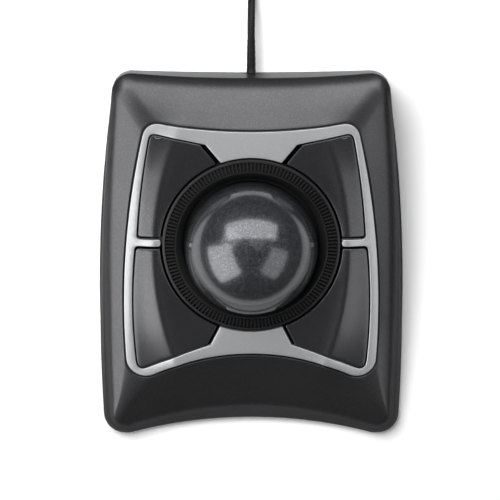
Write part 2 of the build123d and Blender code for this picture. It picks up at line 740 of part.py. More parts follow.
with BuildPart() as strain_relief:
    with BuildSketch(Plane(origin=(0, 0, exit_z), x_dir=(0, 1, 0), z_dir=(1, 0, 0))):
        with BuildLine():
            Polyline((relief_in, 0), (relief_in, relief_r + 0.9), (relief_in + 1.4, relief_r + 0.9),
                     (relief_in + 1.4, relief_r), (base_back - 0.6, relief_r),
                     (base_back - 0.1, cable_d / 2 + 0.4), (relief_out, cable_d / 2 + 0.15), (relief_out, 0),
                     (relief_in, 0))
        make_face()
    revolve(axis=Axis((0, 0, exit_z), (0, 1, 0)))
strain_relief.part.label = "strain_relief"
export_step(strain_relief.part, "parts/strain_relief.step")

routes = {"inner_lead": (inner_route, lead_d), "cable": (cable_route, cable_d),
          "cable_tail": (tail_route, cable_d)}
for name, (points, thickness) in routes.items():
    radii = bend_radii(points)
    with BuildPart() as cord:
        with BuildLine() as path:
            FilletPolyline(*points, radius=radii)
        with BuildSketch(Plane(origin=path.line @ 0, z_dir=path.line % 0)):
            Circle(thickness / 2)
        sweep()
    print(name, "length", round(path.wire().length, 1), "radii", [round(r, 1) for r in radii])
    cord.part.label = name
    export_step(cord.part, f"parts/{name}.step")

tie_box = Plane(origin=(coil_x, coil_y, 0)).offset(coil_h / 2).rotated((0, 0, 135))
tie_mid = (coil_inner + coil_outer) / 2
tie_span = coil_outer - coil_inner + 2 * tie_t

with BuildPart() as cable_tie:
    with BuildSketch(tie_box):
        with Locations((tie_mid, 0)):
            Rectangle(tie_span, tie_w)
    extrude(amount=coil_h / 2, both=True)
    with BuildSketch(tie_box):
        with Locations((tie_mid, 0)):
            Rectangle(tie_span - 2 * tie_t, tie_w)
    extrude(amount=coil_h / 2 - tie_t, both=True, mode=Mode.SUBTRACT)
cable_tie.part.label = "cable_tie"
export_step(cable_tie.part, "parts/cable_tie.step")

with BuildPart() as cable_coil:
    with BuildSketch():
        with Locations((coil_x, coil_y)):
            Circle(coil_outer + 0.2)
            Circle(coil_inner - 0.2, mode=Mode.SUBTRACT)
    extrude(amount=coil_h)
    fillet(cable_coil.edges().filter_by(GeomType.CIRCLE), cable_d / 2)
    add(cable_tie.part, mode=Mode.SUBTRACT)
cable_coil.part.label = "cable_coil"
export_step(cable_coil.part, "parts/cable_coil.step")

plug_back = Vector(*tail_route[-1])
plug_w, plug_l, plug_h = plug_size
collar_l = 6.0
shell_in = 4.0          # part of the shell inside the plug's body

with BuildPart() as usb_plug_body:
    with BuildSketch(Plane(origin=plug_back + Vector(0, collar_l, 0), x_dir=(1, 0, 0), z_dir=(0, 1, 0))):
        RectangleRounded(plug_w, plug_h, 2.0)
    extrude(amount=plug_l)
    with BuildSketch(Plane(origin=plug_back, x_dir=(1, 0, 0), z_dir=(0, 1, 0))):
        Circle(cable_d / 2 + 0.9)
    extrude(amount=collar_l)
    plug_face = plug_back + Vector(0, collar_l + plug_l, 0)
    with BuildSketch(Plane(origin=plug_face, x_dir=(1, 0, 0), z_dir=(0, 1, 0))):
        Rectangle(shell_size[0], shell_size[2])
    extrude(amount=-shell_in, mode=Mode.SUBTRACT)
usb_plug_body.part.label = "usb_plug_body"
export_step(usb_plug_body.part, "parts/usb_plug_body.step")

shell_start = Plane(origin=plug_face - Vector(0, shell_in, 0), x_dir=(1, 0, 0), z_dir=(0, 1, 0))
with BuildPart() as usb_plug_shell:
    with BuildSketch(shell_start):
        Rectangle(shell_size[0], shell_size[2])
        Rectangle(shell_size[0] - 2 * shell_t, shell_size[2] - 2 * shell_t, mode=Mode.SUBTRACT)
    extrude(amount=shell_size[1] + shell_in)
usb_plug_shell.part.label = "usb_plug_shell"
export_step(usb_plug_shell.part, "parts/usb_plug_shell.step")

with BuildPart() as usb_plug_insert:
    with BuildSketch(shell_start):
        with Locations((0, -shell_size[2] / 2 + shell_t + 0.9)):
            Rectangle(shell_size[0] - 2 * shell_t, 1.8)
    extrude(amount=shell_size[1] + shell_in - shell_t)
usb_plug_insert.part.label = "usb_plug_insert"
export_step(usb_plug_insert.part, "parts/usb_plug_insert.step")

print("arm of each button to its switch",
      {row: round(hinge_u - spot[0], 3) for row, spot in switch_spots.items()})
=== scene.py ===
# Desktop trackball: graphite shell, silver frame, four rocking buttons, scroll ring, ball and lead.
# Sizes are in millimetres until a mesh is made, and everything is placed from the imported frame.
import bmesh
import bpy
import json
from math import atan2, ceil, cos, exp, hypot, log, pi, radians, sin, sqrt, tan
from mathutils import Euler, Matrix, Vector
from mathutils.geometry import delaunay_2d_cdt


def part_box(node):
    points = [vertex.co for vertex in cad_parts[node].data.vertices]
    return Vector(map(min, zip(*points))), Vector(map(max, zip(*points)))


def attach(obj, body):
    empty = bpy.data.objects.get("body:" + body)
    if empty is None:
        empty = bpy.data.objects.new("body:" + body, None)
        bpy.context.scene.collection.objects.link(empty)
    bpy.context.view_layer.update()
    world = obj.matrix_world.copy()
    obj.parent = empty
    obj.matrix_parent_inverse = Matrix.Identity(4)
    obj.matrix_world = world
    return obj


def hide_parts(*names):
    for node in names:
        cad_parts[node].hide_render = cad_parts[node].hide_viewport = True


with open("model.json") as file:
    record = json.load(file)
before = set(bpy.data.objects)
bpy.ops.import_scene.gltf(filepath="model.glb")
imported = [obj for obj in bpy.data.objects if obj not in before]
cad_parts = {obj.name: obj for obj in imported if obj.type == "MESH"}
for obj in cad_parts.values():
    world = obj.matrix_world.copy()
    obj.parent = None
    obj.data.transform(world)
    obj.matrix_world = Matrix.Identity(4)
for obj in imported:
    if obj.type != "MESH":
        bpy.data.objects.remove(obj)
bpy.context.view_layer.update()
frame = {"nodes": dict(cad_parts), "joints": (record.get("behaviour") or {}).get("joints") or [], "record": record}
print("frame loaded:", len(frame["nodes"]), "nodes")

mm = 0.001


def nodeBox(name):
    return [Vector(corner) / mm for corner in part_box(name)]


def jointAxis(name):
    return Vector(next(row for row in frame["joints"] if row["name"] == name)["axis"]).normalized()


# where things are, read from the frame
ballLow, ballHigh = nodeBox("ball")
ballCentre = (ballLow + ballHigh) / 2
ballRadius = (ballHigh.z - ballLow.z) / 2
halfWidth = nodeBox("base_cover")[1].x
seamHeight = nodeBox("top_cover")[0].z
reliefLow, reliefHigh = nodeBox("strain_relief")
exitHeight = (reliefLow.z + reliefHigh.z) / 2

deck = {"ringDrop": 3.0, "frameThick": 2.5, "ledge": 2.0}
deckNormal = jointAxis("scroll_ring_turn")
deckRight = Vector((1, 0, 0))
deckBack = deckNormal.cross(deckRight)
deckOrigin = ballCentre - deckNormal * deck["ringDrop"]
deckMatrix = Matrix((deckRight, deckBack, deckNormal)).transposed().to_4x4()
deckMatrix.translation = deckOrigin


def onDeck(u, v, w=0.0):
    return deckOrigin + deckRight * u + deckBack * v + deckNormal * w


def deckBackOf(y, w):
    # the deck's own forward-back place of a point at height w over the given y
    return (y - deckOrigin.y - w * deckNormal.y) / deckBack.y


# flat outlines
def circleThrough(p, q, r):
    ax, ay, bx, by = q[0] - p[0], q[1] - p[1], r[0] - p[0], r[1] - p[1]
    double = 2 * (ax * by - ay * bx)
    dx = (by * (ax ** 2 + ay ** 2) - ay * (bx ** 2 + by ** 2)) / double
    dy = (ax * (bx ** 2 + by ** 2) - bx * (ax ** 2 + ay ** 2)) / double
    return Vector((p[0] + dx, p[1] + dy)), hypot(dx, dy)


def circlesMeet(c1, r1, c2, r2, near):
    gap = c2 - c1
    reach = (gap.length ** 2 + r1 ** 2 - r2 ** 2) / (2 * gap.length)
    swing = Vector((-gap.y, gap.x)).normalized() * sqrt(max(0.0, r1 ** 2 - reach ** 2))
    foot = c1 + gap.normalized() * reach
    return min((foot + swing, foot - swing), key=lambda point: (point - Vector(near)).length)


def sweepArc(centre, start, end, count):
    # points after the start, up to and with the end, the short way round
    first, last = start - centre, end - centre
    begin, turn = atan2(first.y, first.x), first.angle_signed(last)
    radius = first.length
    return [centre + Vector((cos(begin - turn * k / count), sin(begin - turn * k / count))) * radius
            for k in range(1, count + 1)]


outlineSteps = {"back": 16, "corner": 10, "side": 26, "front": 18}
smallestRound = 0.6


def bowedOutline(edge, inset=0.0):
    # clockwise from the middle of the back; every outline has the same number of points
    back, front = Vector(edge["back"]), Vector(edge["front"])
    mirror = Vector((-1, 1))
    backC, backR = circleThrough(back * mirror, (0, edge["backMid"]), back)
    sideC, sideR = circleThrough(back, edge["side"], front)
    frontC, frontR = circleThrough(front, (0, edge["frontMid"]), front * mirror)
    backR, sideR, frontR = backR + inset, sideR - inset, frontR + inset
    r1, r2 = (max(edge[key] - inset, smallestRound) for key in ("backR", "frontR"))
    k1 = circlesMeet(backC, backR + r1, sideC, sideR - r1, back)
    k2 = circlesMeet(frontC, frontR + r2, sideC, sideR - r2, front)
    backMid, frontMid = Vector((0, edge["backMid"] - inset)), Vector((0, edge["frontMid"] + inset))
    t1 = backC + (k1 - backC).normalized() * backR
    t2 = sideC + (k1 - sideC).normalized() * sideR
    t3 = sideC + (k2 - sideC).normalized() * sideR
    t4 = frontC + (k2 - frontC).normalized() * frontR
    right = [backMid] + sweepArc(backC, backMid, t1, outlineSteps["back"])
    right += sweepArc(k1, t1, t2, outlineSteps["corner"])
    right += sweepArc(sideC, t2, t3, outlineSteps["side"])
    right += sweepArc(k2, t3, t4, outlineSteps["corner"])
    right += sweepArc(frontC, t4, frontMid, outlineSteps["front"])
    return right + [point * mirror for point in reversed(right[1:-1])]


def blendEdges(a, b, share):
    def mix(p, q):
        if isinstance(p, tuple):
            return tuple(mix(x, y) for x, y in zip(p, q))
        return p + (q - p) * share
    return {key: mix(a[key], b[key]) for key in a}


baseBack, baseFront, creaseDrop = 77.0, 71.3, 9.1
baseEdge = {"back": (halfWidth - 7.4, baseBack + 1.1), "front": (halfWidth - 2.0, -baseFront - 9.5),
            "backMid": baseBack, "side": (halfWidth - 0.2, -17.0), "frontMid": -baseFront,
            "backR": 8.0, "frontR": 9.0}
creaseEdge = {"back": (halfWidth - 8.6, deckBackOf(baseBack + 0.9, -creaseDrop)),
              "front": (halfWidth - 3.7, deckBackOf(-baseFront - 8.6, -creaseDrop)),
              "backMid": deckBackOf(baseBack - 2.6, -creaseDrop),
              "side": (halfWidth - 2.7, deckBackOf(-17.0, -creaseDrop)),
              "frontMid": deckBackOf(3.7 - baseFront, -creaseDrop), "backR": 8.0, "frontR": 8.0}
bezelEdge = {"back": (halfWidth - 22.0, deckBackOf(baseBack - 19.7, 0)),
             "front": (halfWidth - 13.3, deckBackOf(15.2 - baseFront, 0)),
             "backMid": deckBackOf(baseBack - 23.9, 0), "side": (halfWidth - 13.1, 0.0),
             "frontMid": deckBackOf(30.5 - baseFront, 0), "backR": 6.0, "frontR": 8.0}

# the deck's relief: a soft crest runs down each side; the deck droops outside it and is scooped inside
crest = {"through": ((31.0, 45.9), (40.2, 0.0), (32.0, -50.6)), "height": 0.9, "scoop": 5.0, "scoopTo": 6.0,
         "droop": tan(radians(10.0)), "softness": 0.13, "endFrom": 30.0, "backBend": 0.01, "frontBend": 0.003,
         "lowest": 2.3}
crestCentre, crestRadius = circleThrough(*crest["through"])


def relief(u, v):
    # the lower of a slope inside the crest and one outside it, softly joined and bent down at both ends
    beyond = (Vector((abs(u), v)) - crestCentre).length - crestRadius
    inner = crest["height"] * exp(min(beyond, crest["scoopTo"]) / crest["scoop"])
    outer = crest["height"] - crest["droop"] * beyond
    soft = crest["softness"]
    ends = crest["backBend" if v > 0 else "frontBend"] / 2 * max(0.0, abs(v) - crest["endFrom"]) ** 2
    height = -soft * log(exp(-inner / soft) + exp(-outer / soft)) - ends
    if height > 0:
        return height
    return crest["lowest"] * (exp(height / crest["lowest"]) - 1)  # levels out below the deck


# mesh helpers
mergeWithin = 1e-4


def finishedMesh(name, bm, material, body, *stands, angle=35.0, slot=None):
    # bm is in millimetres; the result sits at the origin in metres
    bmesh.ops.remove_doubles(bm, verts=bm.verts, dist=mergeWithin)
    bmesh.ops.recalc_face_normals(bm, faces=bm.faces)
    bmesh.ops.scale(bm, vec=(mm, mm, mm), verts=bm.verts)
    mesh = bpy.data.meshes.new(name)
    bm.to_mesh(mesh)
    bm.free()
    mesh.shade_smooth()
    mesh.set_sharp_from_angle(angle=radians(angle))
    mesh.materials.append(material)
    piece = bpy.data.objects.new(name, mesh)
    bpy.context.scene.collection.objects.link(piece)
    return placed(piece, body, *stands, slot=slot)


def placed(piece, body, *stands, slot=None):
    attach(piece, body)
    if stands:
        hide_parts(*stands)
    return piece


def keepResult(piece):
    # what the modifiers make becomes the piece's own mesh
    bpy.context.view_layer.update()
    mesh = bpy.data.meshes.new_from_object(piece.evaluated_get(bpy.context.evaluated_depsgraph_get()))
    piece.modifiers.clear()
    piece.data = mesh


def addGrid(bm, columns, closed=True):
    # columns of points stand round a piece, each joined to the next and, when closed, end to end
    rows = [[bm.verts.new(point) for point in column] for column in columns]
    for here, beside in zip(rows, rows[1:] + rows[:1]):
        for j in range(len(here) if closed else len(here) - 1):
            n = (j + 1) % len(here)
            bm.faces.new((here[j], beside[j], beside[n], here[n]))


def pathLength(points):
    return sum((b - a).length for a, b in zip(points, points[1:]))


def pointAt(points, distance):
    for a, b in zip(points, points[1:]):
        run = (b - a).length
        if distance <= run or b is points[-1]:
            return a + (b - a) * (distance / run if run else 0)
        distance -= run


def eased(share):
    return share * share * (3 - 2 * share)


def stretch(points, start, end, count):
    return [pointAt(points, start + (end - start) * k / count) for k in range(count + 1)]


def softCorner(before, corner, after, count):
    return [before * (1 - t) ** 2 + corner * 2 * t * (1 - t) + after * t ** 2
            for t in (k / count for k in range(1, count))]


# the sharpest turn that is rounded in full, the most of a side that a corner takes, and point counts
rounding = {"sharpest": 2.6, "mostOfSide": 0.45, "steps": 5, "nearest": 0.02}


def roundedLoop(sides, radii, spacing):
    # sides run corner to corner round a closed loop; radii[k] rounds the corner at the end of side k
    lengths = [pathLength(side) for side in sides]
    cuts = []
    for k, side in enumerate(sides):
        after = sides[(k + 1) % len(sides)]
        turn = (side[-1] - side[-2]).angle(after[1] - after[0])
        shorter = min(lengths[k], lengths[(k + 1) % len(sides)])
        wanted = radii[k] * tan(min(turn, rounding["sharpest"]) / 2)
        cuts.append(min(wanted, rounding["mostOfSide"] * shorter))
    loop = []
    for k, side in enumerate(sides):
        start, end = cuts[k - 1], lengths[k] - cuts[k]
        run = stretch(side, start, end, max(1, ceil((end - start) / spacing)))
        following = sides[(k + 1) % len(sides)]
        loop += run + softCorner(run[-1], side[-1], pointAt(following, cuts[k]), rounding["steps"])
    spaced = [loop[0]]
    for point in loop[1:]:
        if (point - spaced[-1]).length > rounding["nearest"]:
            spaced.append(point)
    return spaced if (spaced[-1] - spaced[0]).length > rounding["nearest"] else spaced[:-1]


def loopArea(loop):
    return sum(a.x * b.y - b.x * a.y for a, b in zip(loop, loop[1:] + loop[:1])) / 2


def turned(loop, anticlockwise):
    return loop if (loopArea(loop) > 0) == anticlockwise else loop[::-1]


leastMitre = 0.6  # keeps a sharp corner from running away


def shifted(loop, distance):
    # moves each point to the left of the way round, which is into the material
    moved = []
    for k, here in enumerate(loop):
        first = (here - loop[k - 1]).normalized()
        second = (loop[(k + 1) % len(loop)] - here).normalized()
        n1, n2 = Vector((-first.y, first.x)), Vector((-second.y, second.x))
        moved.append(here + (n1 + n2) * (distance / max(1 + n1.dot(n2), leastMitre)))
    return moved


def inside(point, loop):
    hit = False
    for a, b in zip(loop, loop[1:] + loop[:1]):
        if (a.y > point.y) != (b.y > point.y):
            if point.x < (b.x - a.x) * (point.y - a.y) / (b.y - a.y) + a.x:
                hit = not hit
    return hit


def insideAll(point, loops):
    return inside(point, loops[0]) and not any(inside(point, hole) for hole in loops[1:])


# the free room round a point of the grid and the step between its rows, in spacings
flatGrid = {"room": 0.6, "rowStep": 0.866}


def fillFlat(loops, spacing):
    # triangles between an outer loop and its holes, with a grid of points inside when spacing is given
    points, edges = [], []
    for loop in loops:
        start = len(points)
        points += [point.copy() for point in loop]
        edges += [(start + k, start + (k + 1) % len(loop)) for k in range(len(loop))]
    if spacing:
        border = list(points)
        xs, ys = [p.x for p in loops[0]], [p.y for p in loops[0]]
        row, y = 0, min(ys)
        while y < max(ys):
            x = min(xs) + (spacing / 2 if row % 2 else 0)
            near = [p for p in border if abs(p.y - y) < spacing]
            while x < max(xs):
                spot = Vector((x, y))
                free = all((spot - p).length > flatGrid["room"] * spacing for p in near)
                if free and insideAll(spot, loops):
                    points.append(spot)
                x += spacing
            y += spacing * flatGrid["rowStep"]
            row += 1
    verts, _, faces, *_ = delaunay_2d_cdt(points, edges, [], 0, 1e-6)
    kept = []
    for face in faces:
        middle = sum((verts[k] for k in face), Vector((0, 0))) / len(face)
        if insideAll(middle, loops):
            kept.append(face)
    return verts, kept


edgeSteps = 4


def spotKey(p):
    return round(p.x, 4), round(p.y, 4)


def addPlate(bm, loops, top, depth, edgeRound, spacing, cavity=None):
    # a plate that follows top(u, v), with rounded upper edges and square sides down to depth;
    # cavity gives the wall and skin of a hollow underside
    loops = [turned(loop, k == 0) for k, loop in enumerate(loops)]
    bands = [[] for loop in loops]
    for step in range(edgeSteps + 1):
        angle = pi / 2 * step / edgeSteps
        for band, loop in zip(bands, loops):
            line = shifted(loop, edgeRound * (1 - sin(angle))) if step < edgeSteps else loop
            sunk = edgeRound * (1 - cos(angle))
            band.append([onDeck(p.x, p.y, top(q.x, q.y) - sunk) for p, q in zip(line, loop)])
    for band, loop in zip(bands, loops):
        band.append([onDeck(p.x, p.y, depth) for p in loop])
        addGrid(bm, list(zip(*band)), closed=False)
    inner = [shifted(loop, edgeRound) for loop in loops]
    edgeHeights = {spotKey(p): top(q.x, q.y) for line, loop in zip(inner, loops) for p, q in zip(line, loop)}
    verts, faces = fillFlat(inner, spacing)
    made = [bm.verts.new(onDeck(p.x, p.y, edgeHeights.get(spotKey(p), top(p.x, p.y)))) for p in verts]
    for face in faces:
        bm.faces.new([made[k] for k in face])
    if cavity:
        wall, skin = cavity
        room = shifted(loops[0], wall)
        ceiling = [onDeck(q.x, q.y, top(q.x, q.y) - skin) for q in room]
        addGrid(bm, [(onDeck(p.x, p.y, depth), onDeck(q.x, q.y, depth), high)
                     for p, q, high in zip(loops[0], room, ceiling)], closed=False)
        verts, faces = fillFlat([room], spacing * 2)
        made = [bm.verts.new(onDeck(p.x, p.y, top(p.x, p.y) - skin)) for p in verts]
    else:
        verts, faces = fillFlat(loops, None)
        made = [bm.verts.new(onDeck(p.x, p.y, depth)) for p in verts]
    for face in faces:
        bm.faces.new([made[k] for k in reversed(face)])


def addRevolve(bm, profile, steps, matrix):
    # profile is a closed line of (radius, height), turned round the matrix's own Z
    columns = []
    for k in range(steps):
        turn = 2 * pi * k / steps
        columns.append([matrix @ Vector((r * cos(turn), r * sin(turn), h)) for r, h in profile])
    addGrid(bm, columns)


# nodes and materials
class Wire:
    # an output socket that can stand in a sum
    def __init__(self, tree, socket):
        self.tree, self.socket = tree, socket

    def maths(self, operation, *values):
        made = addNode(self.tree, "ShaderNodeMath", {"operation": operation}, dict(enumerate(values)))
        return Wire(self.tree, made.outputs[0])

    def __add__(self, other):
        return self.maths("ADD", self, other)

    def __mul__(self, other):
        return self.maths("MULTIPLY", self, other)

    def __sub__(self, other):
        return self.maths("SUBTRACT", self, other)

    def __rsub__(self, other):
        return self.maths("SUBTRACT", other, self)

    def __pow__(self, other):
        return self.maths("POWER", self, other)

    __radd__ = __add__
    __rmul__ = __mul__


def connect(tree, value, place):
    # value is a number, a tuple or material, or the output that feeds the place
    if isinstance(value, Wire):
        value = value.socket
    if isinstance(value, bpy.types.NodeSocket):
        tree.links.new(value, place)
    else:
        place.default_value = value


def addNode(tree, kind, settings=None, sockets=None):
    # settings come first, because they can change which sockets there are
    made = tree.nodes.new(kind)
    for name, value in (settings or {}).items():
        setattr(made, name, value)
    for name, value in (sockets or {}).items():
        connect(tree, value, made.inputs[name])
    return made


class Finish:
    # one material; its Principled shader takes constants by name
    def __init__(self, name, **constants):
        self.material = bpy.data.materials.new(name)
        self.material.use_nodes = True
        self.tree = self.material.node_tree
        self.shader = self.tree.nodes["Principled BSDF"]
        self.feed(**constants)

    def feed(self, **values):
        for name, value in values.items():
            if isinstance(value, tuple) and len(value) == 3:
                value = (*value, 1.0)
            connect(self.tree, value, self.shader.inputs[name.replace("_", " ")])

    def node(self, kind, settings=None, sockets=None, out=0):
        return Wire(self.tree, addNode(self.tree, kind, settings, sockets).outputs[out])

    def place(self):
        return self.node("ShaderNodeTexCoord", out="Object")

    def noise(self, scale, detail=2.0):
        cloud = {"Vector": self.place(), "Scale": scale, "Detail": detail}
        return self.node("ShaderNodeTexNoise", sockets=cloud)

    def flakes(self, size):
        # a random number for each flake, size in millimetres
        cells = {"Vector": self.place(), "Scale": 1 / (size * mm)}
        colour = self.node("ShaderNodeTexVoronoi", sockets=cells, out="Color")
        return self.node("ShaderNodeSeparateColor", sockets={"Color": colour})

    def tint(self, factor, a, b):
        # a Mix node's colour sockets are its seventh and eighth, and its colour result is the third
        return self.node("ShaderNodeMix", {"data_type": "RGBA"}, {0: factor, 6: (*a, 1.0), 7: (*b, 1.0)}, 2)

    def bump(self, height, distance, strength):
        rise = {"Height": height, "Distance": distance * mm, "Strength": strength}
        return self.node("ShaderNodeBump", sockets=rise)


paintFlake = {"size": 0.2, "sparkle": 0.45, "height": 0.004, "tilt": 0.25}


def metallicPaint(name, dark, light, metallic, roughness, coat=0.0):
    # paint with metal flakes: each flake has its own shade and a slight tilt
    paint = Finish(name, Metallic=metallic, Coat_Roughness=0.08, Specular_Tint=(0.45, 0.45, 0.45))
    flake = paint.flakes(paintFlake["size"])
    cloud = paint.noise(45.0, 3.0)
    shade = (flake ** 3.0) * paintFlake["sparkle"] + cloud * 0.25
    paint.feed(Base_Color=paint.tint(shade, dark, light),
               Roughness=paint.noise(9000.0) * 0.08 + (roughness - 0.04),
               Coat_Weight=coat, Normal=paint.bump(flake, paintFlake["height"], paintFlake["tilt"]))
    return paint.material


def mouldedPlastic(name, colour, roughness, grain=0.35, depth=0.012, metallic=0.0, specular=0.5):
    # moulded plastic with a fine eroded grain
    plastic = Finish(name, Metallic=metallic, Specular_IOR_Level=specular)
    grainy = plastic.noise(1 / (grain * mm), 3.0)
    cloud = plastic.noise(60.0, 2.0)
    lighter = tuple(min(1.0, c * 1.35 + 0.002) for c in colour)
    plastic.feed(Base_Color=plastic.tint(cloud * 0.6, colour, lighter),
                 Roughness=cloud * 0.12 + (roughness - 0.06), Normal=plastic.bump(grainy, depth, 0.5))
    return plastic.material


def ballResin():
    # dark pearl under a thick polished coat
    look = {"deep": (0.012, 0.014, 0.018), "pearl": (0.13, 0.14, 0.155), "flake": 0.5, "fineFlake": 0.225}
    resin = Finish("ballResin", Metallic=0.6, Coat_Weight=1.0, Coat_Roughness=0.14, Coat_IOR=1.6)
    flake = resin.flakes(look["flake"])
    fine = resin.flakes(look["fineFlake"])
    cloud = resin.noise(70.0, 3.0)
    shade = (flake ** 2.5) * 0.5 + (fine ** 4.0) * 0.5 + cloud * 0.2
    resin.feed(Base_Color=resin.tint(shade, look["deep"], look["pearl"]),
               Roughness=resin.noise(3000.0) * 0.1 + 0.2, Normal=resin.bump(flake, 0.02, 0.4))
    return resin.material


def solderMask():
    # green lacquer over rows of tracks
    board = Finish("boardGreen", Coat_Weight=0.3)
    rows = {"Vector": board.place(), "Scale": 700.0, "Mortar Size": 0.06, "Color1": (0, 0, 0, 1),
            "Color2": (1, 1, 1, 1), "Mortar": (0.4, 0.4, 0.4, 1)}
    stripes = board.node("ShaderNodeTexBrick", {"offset": 0.37}, rows)
    track = board.node("ShaderNodeSeparateColor", sockets={"Color": stripes})
    board.feed(Base_Color=board.tint(track * 0.5, (0.012, 0.10, 0.035), (0.03, 0.19, 0.07)),
               Roughness=track * 0.1 + 0.3, Normal=board.bump(track, 0.03, 0.6))
    return board.material


def brushedMetal(name, colour, roughness):
    # noise drawn out along Y
    metal = Finish(name, Metallic=1.0)
    drawn = metal.node("ShaderNodeMapping",
                       sockets={"Vector": metal.place(), "Scale": (2500.0, 160.0, 2500.0)})
    line = metal.node("ShaderNodeTexNoise", sockets={"Vector": drawn, "Scale": 1.0, "Detail": 3.0})
    metal.feed(Base_Color=metal.tint(line, tuple(c * 0.8 for c in colour), colour),
               Roughness=line * 0.2 + (roughness - 0.1), Normal=metal.bump(line, 0.004, 0.3))
    return metal.material


graphite = metallicPaint("graphiteShell", (0.062, 0.062, 0.065), (0.14, 0.14, 0.146), 0.88, 0.32)
graphiteKey = metallicPaint("graphiteButton", (0.085, 0.085, 0.09), (0.18, 0.18, 0.19), 0.92, 0.26, 0.1)
silver = metallicPaint("silverFrame", (0.54, 0.55, 0.56), (0.72, 0.73, 0.74), 0.8, 0.4)
ringBlack = mouldedPlastic("ringBlack", (0.010, 0.010, 0.010), 0.38, specular=0.4)
blackBase = mouldedPlastic("blackBase", (0.022, 0.022, 0.024), 0.5, 0.5)
socketBlack = mouldedPlastic("socketBlack", (0.004, 0.004, 0.004), 0.6, specular=0.15)
chipBlack = mouldedPlastic("chipBlack", (0.02, 0.02, 0.02), 0.45)
footRubber = mouldedPlastic("footRubber", (0.014, 0.014, 0.014), 0.75, 0.25, 0.03)
cableBlack = mouldedPlastic("cableBlack", (0.004, 0.004, 0.0045), 0.45, 0.6, 0.01, specular=0.25)
whitePlastic = mouldedPlastic("whitePlastic", (0.62, 0.62, 0.6), 0.5)
plungerRed = mouldedPlastic("plungerRed", (0.45, 0.03, 0.02), 0.4)
lensClear = mouldedPlastic("lensClear", (0.5, 0.55, 0.6), 0.12)
steel = brushedMetal("steel", (0.62, 0.62, 0.62), 0.32)
crystalMetal = brushedMetal("crystalMetal", (0.75, 0.75, 0.74), 0.25)
pearl = ballResin()
board = solderMask()
slotMaterials = {"graphite_shell": graphite, "black_base": blackBase, "silver_frame": silver,
                 "graphite_button": graphiteKey, "ring_black": ringBlack, "ball_resin": pearl, "steel": steel,
                 "white_plastic": whitePlastic, "board_green": board, "chip_black": chipBlack,
                 "crystal_metal": crystalMetal, "lens_clear": lensClear, "plunger_red": plungerRed,
                 "foot_rubber": footRubber, "cable_black": cableBlack}
nodeMaterials = {"ball_socket": socketBlack}  # a node with a finish of its own
print("materials:", len(slotMaterials) + len(nodeMaterials))


def dressCadNodes():
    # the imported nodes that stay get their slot's finish
    for part in frame["record"]["subparts"]:
        material = nodeMaterials.get(part["node"], slotMaterials[part["material_slot"]])
        piece = frame["nodes"][part["node"]]
        for place in piece.material_slots:
            place.material = material


# camera
view = {"distance": 900.0, "tilt": radians(6.0), "scale": 2.32, "aim": Vector((-0.5, 0.6, 0.0)),
        "imageWide": 500, "sensor": 36.0}
camera = bpy.data.objects.new("camera", bpy.data.cameras.new("camera"))
bpy.context.scene.collection.objects.link(camera)
camera.data.sensor_width = view["sensor"]
camera.data.lens = view["sensor"] * view["scale"] * view["distance"] / view["imageWide"]
camera.data.clip_end = 20.0
camera.location = (view["aim"] + Vector((0, sin(view["tilt"]), cos(view["tilt"]))) * view["distance"]) * mm
camera.rotation_euler = Euler((-view["tilt"], 0, 0))
bpy.context.scene.camera = camera
print("camera set")

# lead: out of the back wall, down to the desk, into a tied coil, and to its plug
lead = {"diameter": 3.2, "length": 1800.0, "coilX": -22.35, "coilY": 142.0, "coilInner": 11.85, "pitch": 3.3,
        "turns": 14.75, "perTurn": 24, "jog": 0.2, "tieAt": 135.0, "tieLift": 0.5, "tieReach": 16.0}
leadRoute = [(0, 90.9, 10), (0, 100.5, 10), (0.4, 114, 2.6), (0.9, 128, 1.65), (1.0, 142, 1.6)]
tailRoute = [(-22.35, 118.65, 11.5), (-17.6, 118.6, 11.6), (-13.1, 118.75, 12.3), (-7.8, 120.9, 13.9),
             (-3.7, 124.9, 15.9), (-1.5, 130.3, 17.2), (-1.5, 134.8, 17.2)]


def coilCells():
    # column and row of every turn: each layer is wound the other way to the one below it
    inwards = [3, 2, 1, 0]
    outwards = inwards[::-1]
    layers = (inwards, outwards, inwards, outwards[1:] + [3])
    return [(column, row) for row, layer in enumerate(layers) for column in layer]


def coilPoints():
    cells = coilCells()
    points = []
    for step in range(1, int(lead["turns"] * lead["perTurn"])):
        turn, share = divmod(step / lead["perTurn"], 1)
        (c0, r0), (c1, r1) = cells[int(turn)], cells[int(turn) + 1]
        move = eased(max(0.0, (share - 1 + lead["jog"]) / lead["jog"]))
        column, row = c0 + (c1 - c0) * move, r0 + (r1 - r0) * move
        azimuth = 360 * share
        lift = lead["tieLift"] * exp(-((azimuth - lead["tieAt"]) / lead["tieReach"]) ** 2) * (1 - row / 3)
        radius = lead["coilInner"] + lead["diameter"] / 2 + lead["pitch"] * column
        points.append((lead["coilX"] + radius * cos(radians(azimuth)),
                       lead["coilY"] + radius * sin(radians(azimuth)),
                       lead["diameter"] / 2 + lead["pitch"] * row + lift))
    return points


def makeLead():
    points = leadRoute + coilPoints() + tailRoute
    curve = bpy.data.curves.new("lead", "CURVE")
    curve.dimensions = "3D"
    curve.bevel_depth = lead["diameter"] / 2 * mm
    curve.bevel_resolution = 5
    curve.resolution_u = 4
    curve.use_fill_caps = True
    spline = curve.splines.new("NURBS")
    spline.points.add(len(points) - 1)
    for spot, point in zip(spline.points, points):
        spot.co = (*(Vector(point) * mm), 1.0)
    spline.order_u = 3
    spline.use_endpoint_u = True
    curve.materials.append(cableBlack)
    piece = bpy.data.objects.new("lead", curve)
    bpy.context.scene.collection.objects.link(piece)
    return placed(piece, "housing", "cable", "cable_coil", "cable_tail", slot="cable_black")


